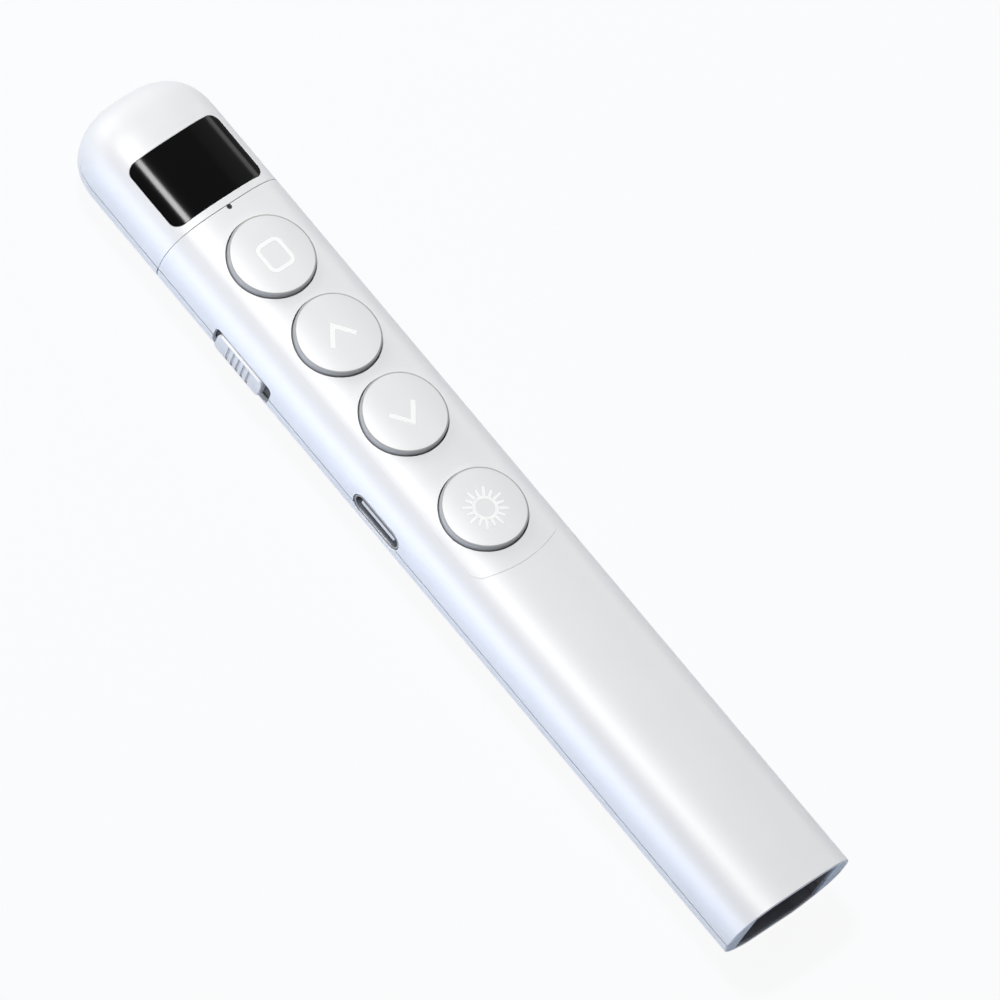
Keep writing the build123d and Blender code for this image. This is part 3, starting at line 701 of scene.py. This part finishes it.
# button panel, with a round hole for each button
buttonNodes = {"screen_button": "screen_key", "page_up_button": "page_up_key",
               "page_down_button": "page_down_key", "pointer_button": "pointer_key"}
buttonMiddle = {}
for nodeName in buttonNodes:
    low, high = boxOf(nodeName)
    buttonMiddle[nodeName] = (low[1] + high[1]) / 2
button = {"radius": 5.87, "hole": 6.05, "raise": 0.85, "edge": 0.28, "skirt": 2.6}
plan = panelOutline(panel["sideGap"])
plan[:, 1] += panel["endGap"] - panel["sideGap"]
panelSide, front = panel["side"] - panel["sideGap"], form["seam"] - form["gap"] * 2
panelRun = np.concatenate([plan, [[panelSide, front], [-panelSide, front]]])
holes = [crownPlaces(arc((0, y), button["hole"], 0, 360, 121)[:-1]) for y in buttonMiddle.values()]
addPlate("buttonPanel", crown, crownPlaces(panelRun), holes, panelEdge, even(panel["wall"]),
         "panel_white", "button_panel", panel["rowStep"])
print("nose, window and panel made")


def roundButton(y):
    # A disc that follows the crown: rings of radius r round the button's middle, raised above the body,
    # a quarter-round edge, then a straight skirt down into its hole. Also gives, for each face, whether it
    # belongs to the side, which starts at the rim of the top.
    spin = np.linspace(0, 2 * np.pi, 145)[:-1]
    rim = button["radius"] - button["edge"]
    top = np.linspace(0, rim, 22)[1:]
    turn = np.linspace(0, np.pi / 2, 7)[1:]
    radius = np.concatenate([top, rim + button["edge"] * np.sin(turn), [button["radius"]]])
    drop = np.concatenate([np.zeros(len(top)), button["edge"] * (1 - np.cos(turn)), [button["skirt"]]])
    lean = np.concatenate([np.zeros(len(top)), turn, [np.pi / 2]])
    flatRadius = np.minimum(radius, rim)[:, None]
    places = crownAt(flatRadius * np.cos(spin))
    crownPoint, crownNormal = onBody(crown, places, np.zeros(places.shape))
    z = crownPoint[..., 2] + button["raise"] - drop[:, None]
    points = np.stack([radius[:, None] * np.cos(spin), y + radius[:, None] * np.sin(spin), z], axis=-1)
    outward = np.stack([np.cos(spin), np.sin(spin), 0 * spin], axis=-1)[None]
    normals = crownNormal * np.cos(lean)[:, None, None] + outward * np.sin(lean)[:, None, None]
    rings, count = points.shape[:2]
    index = 1 + np.arange(rings * count).reshape(rings, count)
    following = np.roll(index, -1, axis=1)
    faces = np.stack([index[:-1], index[1:], following[1:], following[:-1]], axis=-1).reshape(-1, 4).tolist()
    faces += np.stack([np.zeros(count, int), index[0], following[0]], axis=-1).tolist()
    faces.append(index[-1][::-1].tolist())
    ofSide = np.repeat(np.arange(rings - 1) >= len(top) - 1, count)
    ofSide = np.concatenate([ofSide, np.zeros(count, bool), [True]])
    middle = [[0, y, form["parting"] + form["crownRise"] + button["raise"]]]
    allPoints = np.concatenate([middle, points.reshape(-1, 3)])
    allNormals = np.concatenate([[[0, 0, 1]], normals.reshape(-1, 3)])
    return allPoints, faces, allNormals / np.linalg.norm(allNormals, axis=1, keepdims=True), ofSide


pieceNames = {"screen_button": "screenButton", "page_up_button": "pageUpButton",
              "page_down_button": "pageDownButton", "pointer_button": "pointerButton"}
for nodeName, bodyName in buttonNodes.items():
    points, faces, normals, ofSide = roundButton(buttonMiddle[nodeName])
    piece = addPiece(pieceNames[nodeName], points, faces, normals, finishes["button_white"], bodyName,
                     [nodeName])
    # the button's side takes the grey painted shade
    piece.data.materials.append(buttonSideShade)
    piece.data.polygons.foreach_set("material_index", ofSide.astype(np.int32))
print("buttons made")

# small pieces whose edges the solids leave sharp, with the width of the rounding that each gets
edgeWidth = {"power_switch_knob": 0.1, "receiver_cap": 0.25, "receiver_plug_shell": 0.12,
             "receiver_tongue": 0.1, "usb_c_shell": 0.05, "usb_c_tongue": 0.12, "receiver_bay": 0.08,
             "laser_lens": 0.1}
bodyOf = {node: body for body, nodes in frame["record"]["behaviour"]["bodies"].items() for node in nodes}


def softened(nodeName, name, width):
    # A copy of a node's mesh with its doubles merged and its flat faces joined, whose edges over 30 degrees
    # get a rounded bevel of the given width
    source = frame["nodes"][nodeName]
    work = bmesh.new()
    work.from_mesh(source.data)
    bmesh.ops.remove_doubles(work, verts=work.verts, dist=2e-6)
    bmesh.ops.dissolve_limit(work, angle_limit=math.radians(1), verts=work.verts, edges=work.edges)
    mesh = bpy.data.meshes.new(name)
    work.to_mesh(mesh)
    work.free()
    mesh.materials.append(source.data.materials[0])
    mesh.polygons.foreach_set("use_smooth", np.ones(len(mesh.polygons), bool))
    piece = bpy.data.objects.new(name, mesh)
    bpy.context.scene.collection.objects.link(piece)
    bevel = piece.modifiers.new("edges", "BEVEL")
    bevel.width, bevel.segments = width * mm, 3
    bevel.limit_method, bevel.angle_limit = "ANGLE", math.radians(30)
    bevel.harden_normals = True
    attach(piece, bodyOf[nodeName])
    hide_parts(nodeName)


for nodeName, width in edgeWidth.items():
    softened(nodeName, nodeName.replace("_", " ").title().replace(" ", ""), width)
print("edges rounded on", len(edgeWidth), "pieces")

# painted lines lie a hair above their surface and reach a little into it
paint = {"lift": 0.012, "depth": 0.04}


def buttonTopAt(plan):
    # height of a button's top over plan points: the crown's height there plus the button's rise
    onCrown, _ = onBody(crown, crownAt(plan[:, 0]), np.zeros(len(plan)))
    return onCrown[:, 2] + button["raise"]


def paintedLine(path, widths, closed, heightAt=buttonTopAt):
    # A thin closed strip along a plan path, lying on the button's top or another height: at each point it
    # reaches half its width to either side, along the mitre of the two neighbouring directions
    ahead = np.roll(path, -1, axis=0) - path
    if not closed:
        ahead[-1] = ahead[-2]
    ahead /= np.linalg.norm(ahead, axis=1, keepdims=True)
    left = np.stack([-ahead[:, 1], ahead[:, 0]], axis=1)
    before = np.roll(left, 1, axis=0)
    if not closed:
        before[0] = left[0]
    mitre = (left + before) / (1 + np.sum(left * before, axis=1, keepdims=True))
    half = np.reshape(widths, (-1, 1)) / 2
    rows = []
    lift, depth = paint["lift"], paint["depth"]
    for side, height in ((1, lift), (-1, lift), (-1, -depth), (1, -depth)):
        plan = path + side * mitre * half
        rows.append(np.column_stack([plan, heightAt(plan) + height]))
    points = np.stack(rows, axis=1)                   # place along the line, corner of its cross-section
    index = np.arange(len(path) * 4).reshape(-1, 4)
    following = np.roll(index, -1, axis=0) if closed else index[1:]
    here = index if closed else index[:-1]
    turned, turnedNext = np.roll(here, -1, axis=1), np.roll(following, -1, axis=1)
    faces = np.stack([following, turnedNext, turned, here], axis=-1).reshape(-1, 4).tolist()
    if not closed:
        faces += [index[0].tolist(), index[-1][::-1].tolist()]
    return points.reshape(-1, 3), faces


def paintIcon(name, lines, bodyName, material=iconPaint):
    # all the lines of one icon as one piece
    points, faces = joined(lines)
    addPiece(name, points, faces, None, material, bodyName)


# a rounded frame for the screen button
screenFrame = {"x": 0.2, "y": -0.25, "half": (1.75, 2.0), "corner": 0.85, "stroke": 0.5, "step": 0.2}
middle = (screenFrame["x"], buttonMiddle["screen_button"] + screenFrame["y"])
path = resample(roundedRectangle(middle, screenFrame["half"], screenFrame["corner"]), screenFrame["step"])
paintIcon("screenIcon", [paintedLine(path, screenFrame["stroke"], True)], "screen_key")

# an arrowhead towards the nose and one towards the tail, each as its tip's and its ends' places along Y, with
# no points past the share "bare" of each side, where the stroke's edges would cross
arrow = {"x": -0.1, "reach": 2.0, "stroke": 0.62, "bare": 0.82}
arrows = {"pageUpIcon": ("page_up_button", 1.2, -1.33), "pageDownIcon": ("page_down_button", -1.8, 0.72)}
for name, (nodeName, tipPlace, endPlace) in arrows.items():
    y = buttonMiddle[nodeName]
    ends = [np.array([arrow["x"] + side * arrow["reach"], y + endPlace]) for side in (-1, 1)]
    point = np.array([arrow["x"], y + tipPlace])
    steps = np.linspace(0, arrow["bare"], 11)[:, None]
    there = ends[0] + (point - ends[0]) * steps
    back = ends[1] + (point - ends[1]) * steps[::-1]
    path = np.concatenate([there, [point], back])
    paintIcon(name, [paintedLine(path, arrow["stroke"], False)], buttonNodes[nodeName])

# a ring with rays for the pointer, every second ray shorter
sun = {"x": -0.1, "y": -0.15, "ring": 1.54, "stroke": 0.4, "rays": 16, "rayTip": 3.1, "shorter": 0.35,
       "root": 0.1, "rayEnd": 0.28}
middle = np.array([sun["x"], buttonMiddle["pointer_button"] + sun["y"]])
lines = [paintedLine(arc(middle, sun["ring"], 0, 360, 49)[:-1], sun["stroke"], True)]
for k in range(sun["rays"]):
    turn = 2 * math.pi * (k + 0.5) / sun["rays"]
    reach = np.linspace(sun["ring"] + sun["root"], sun["rayTip"] - (sun["shorter"] if k % 2 else 0), 7)
    path = middle + reach[:, None] * np.array([[math.cos(turn), math.sin(turn)]])
    lines.append(paintedLine(path, np.linspace(sun["stroke"], sun["rayEnd"], 7), False))
paintIcon("pointerIcon", lines, "pointer_key")

# the receiver's grip: a line across its cap, two ears that rise from it to a dip between them, and two
# dimples on its plug
grip = {"stroke": 0.16, "fromEnd": 1.1, "fromSide": 0.4, "foot": 5.3, "ear": 3.3, "rise": 2.0, "sweep": 1.5,
        "dip": 1.05, "dimpleX": 2.7, "dimpleY": 10.5, "dimple": 0.1}
capLow, capHigh = boxOf("receiver_cap")
plugTop = boxOf("receiver_plug_shell")[1][2]
gripY = capLow[1] + grip["fromEnd"]
x = np.linspace(-capHigh[0] + grip["fromSide"], capHigh[0] - grip["fromSide"], 25)
lines = [paintedLine(np.column_stack([x, np.full(len(x), gripY)]), grip["stroke"], False, even(capHigh[2]))]
share = np.linspace(0, 1, 10)                         # of an ear's rise, which it sweeps up in a power curve
footX = grip["ear"] + (grip["foot"] - grip["ear"]) * (1 - share ** grip["sweep"])
dipX = np.linspace(grip["ear"], -grip["ear"], 31)[1:-1]
dipY = grip["dip"] + (grip["rise"] - grip["dip"]) * (dipX / grip["ear"]) ** 2
earX = np.concatenate([footX, dipX, -footX[::-1]])
earY = np.concatenate([grip["rise"] * share, dipY, grip["rise"] * share[::-1]])
lines.append(paintedLine(np.column_stack([earX, gripY + earY]), grip["stroke"], False, even(capHigh[2])))
# the dimples are dark dots, painted shade for two small dents in the plug
for side in (-1, 1):
    dimple = arc((side * grip["dimpleX"], gripY + grip["dimpleY"]), grip["dimple"], 0, 360, 13)[:-1]
    lines.append(paintedLine(dimple, grip["stroke"], True, even(plugTop)))
paintIcon("receiverGrip", lines, "receiver", finishes["black_plastic"])
print("icons painted")

# camera: seen from "azimuth" round the body and "elevation" above it, turned by "roll", with "frameWidth"
# across the picture at its target
camera = {"azimuth": -61.62, "elevation": 60.38, "roll": 24.8, "lens": 1500.0, "sensor": 36.0, "clipEnd": 20,
          "frameWidth": 129.15, "target": (10.4, -0.5, -1.0)}
a, e, roll = (math.radians(camera[k]) for k in ("azimuth", "elevation", "roll"))
back = np.array([math.sin(a) * math.cos(e), -math.cos(a) * math.cos(e), math.sin(e)])
level = np.array([math.cos(a), math.sin(a), 0.0])
steep = np.cross(back, level)
right = level * math.cos(roll) + steep * math.sin(roll)
up = steep * math.cos(roll) - level * math.sin(roll)
eye = np.array(camera["target"]) + back * camera["frameWidth"] * camera["lens"] / camera["sensor"]
cameraData = bpy.data.cameras.new("camera")
cameraData.lens, cameraData.sensor_width = camera["lens"], camera["sensor"]
cameraData.clip_end = camera["clipEnd"]
cameraObject = bpy.data.objects.new("camera", cameraData)
columns = np.column_stack([right, up, back, eye * mm])
cameraObject.matrix_world = Matrix([*columns.tolist(), [0, 0, 0, 1]])
bpy.context.scene.collection.objects.link(cameraObject)
bpy.context.scene.camera = cameraObject


def seenDirectly(tree):
    # 1 where the camera, a mirror or glass looks straight at the surface, 0 where it only lights things
    rays = tree.nodes.new("ShaderNodeLightPath")
    total = rays.outputs["Is Camera Ray"]
    for kind in ("Is Glossy Ray", "Is Transmission Ray"):
        added = tree.nodes.new("ShaderNodeMath")
        added.operation, added.use_clamp = "ADD", True
        tree.links.new(total, added.inputs[0])
        tree.links.new(rays.outputs[kind], added.inputs[1])
        total = added.outputs["Value"]
    return total


def mixed(tree, share, first, second):
    # the first shader where share is 0 and the second where it is 1
    mix = tree.nodes.new("ShaderNodeMixShader")
    tree.links.new(share, mix.inputs["Fac"])
    tree.links.new(first, mix.inputs[1])
    tree.links.new(second, mix.inputs[2])
    return mix.outputs["Shader"]


# floor, in metres: the camera sees it mostly as plain white, and the rest keeps the shadow
floor = {"half": 3, "below": 0.0002, "color": (0.55, 0.64, 0.8, 1), "roughness": 0.9, "glow": 0.93}
signs = ((-1, -1), (1, -1), (1, 1), (-1, 1))
corners = [(sx * floor["half"], sy * floor["half"], -floor["below"]) for sx, sy in signs]
floorMesh = bpy.data.meshes.new("floor")
floorMesh.from_pydata(corners, [], [(0, 1, 2, 3)])
floorObject = bpy.data.objects.new("floor", floorMesh)
bpy.context.scene.collection.objects.link(floorObject)
floorMaterial, tree, shader = newMaterial("palePaper")
shader.inputs["Base Color"].default_value = floor["color"]
shader.inputs["Roughness"].default_value = floor["roughness"]
glow = tree.nodes.new("ShaderNodeEmission")
share = tree.nodes.new("ShaderNodeMath")
share.operation = "MULTIPLY"
share.inputs[1].default_value = floor["glow"]
tree.links.new(seenDirectly(tree), share.inputs[0])
paper = mixed(tree, share.outputs["Value"], shader.outputs["BSDF"], glow.outputs["Emission"])
tree.links.new(paper, tree.nodes["Material Output"].inputs["Surface"])
floorMesh.materials.append(floorMaterial)

# world: white to look at, and nearly dark as a light
surround = {"strength": 0.02}
world = bpy.data.worlds.new("studio")
bpy.context.scene.world = world
world.use_nodes = True
tree = world.node_tree
dim = tree.nodes["Background"]
dim.inputs["Strength"].default_value = surround["strength"]
white = tree.nodes.new("ShaderNodeBackground")
for background in (dim, white):
    background.inputs["Color"].default_value = (1, 1, 1, 1)
backdrop = mixed(tree, seenDirectly(tree), dim.outputs["Background"], white.outputs["Background"])
tree.links.new(backdrop, tree.nodes["World Output"].inputs["Surface"])

# lamps, in metres and watts: a strip overhead draws the line of light in the window and the sheen along the
# crown's left, and a small box at the right the dim line at its other edge; low boxes stand at the left,
# beyond both ends and at the right, and a bluish card lies on the floor beside the body
lamps = {
    "stripLight": {"place": (-0.055, 0.24, 0.775), "size": (0.12, 0.07), "power": 3.9},
    "edgeLight": {"place": (0.7, 0.24, 0.35), "size": (0.07, 0.15), "power": 0.3},
    "sideLight": {"place": (-0.8, 0.2, 0.1), "size": (0.7, 0.2), "power": 1.7},
    "noseLight": {"place": (0.0, 0.8, 0.3), "size": (0.5, 0.5), "power": 2.1},
    "tailLight": {"place": (0.2, -0.7, 0.12), "size": (0.5, 0.2), "power": 0.3, "color": (0.3, 0.6, 1.0)},
    "rightLight": {"place": (0.6, 0.02, 0.5), "size": (0.5, 0.5), "power": 0.75},
    "bounceLight": {"place": (-0.125, 0.0, 0.001), "size": (0.2, 0.15), "power": 0.21,
                    "color": (0.66, 0.76, 1.0), "aim": (-0.125, 0.0, 1.0)},
}


def softBox(name, place, size, power, color=(1, 1, 1), aim=(0, 0, 0.014)):
    # a rectangular area lamp, turned so that it shines from its place towards its aim
    lamp = bpy.data.lights.new(name, "AREA")
    lamp.shape = "RECTANGLE"
    lamp.size, lamp.size_y = size
    lamp.energy, lamp.color = power, color
    holder = bpy.data.objects.new(name, lamp)
    holder.location = place
    holder.rotation_mode = "QUATERNION"
    holder.rotation_quaternion = (Vector(aim) - Vector(place)).to_track_quat("-Z", "Y")
    holder.visible_camera = False
    bpy.context.scene.collection.objects.link(holder)


for name, lamp in lamps.items():
    softBox(name, **lamp)
print("camera, floor and", len(lamps), "lamps placed")

bpy.context.scene.view_settings.view_transform = "Standard"
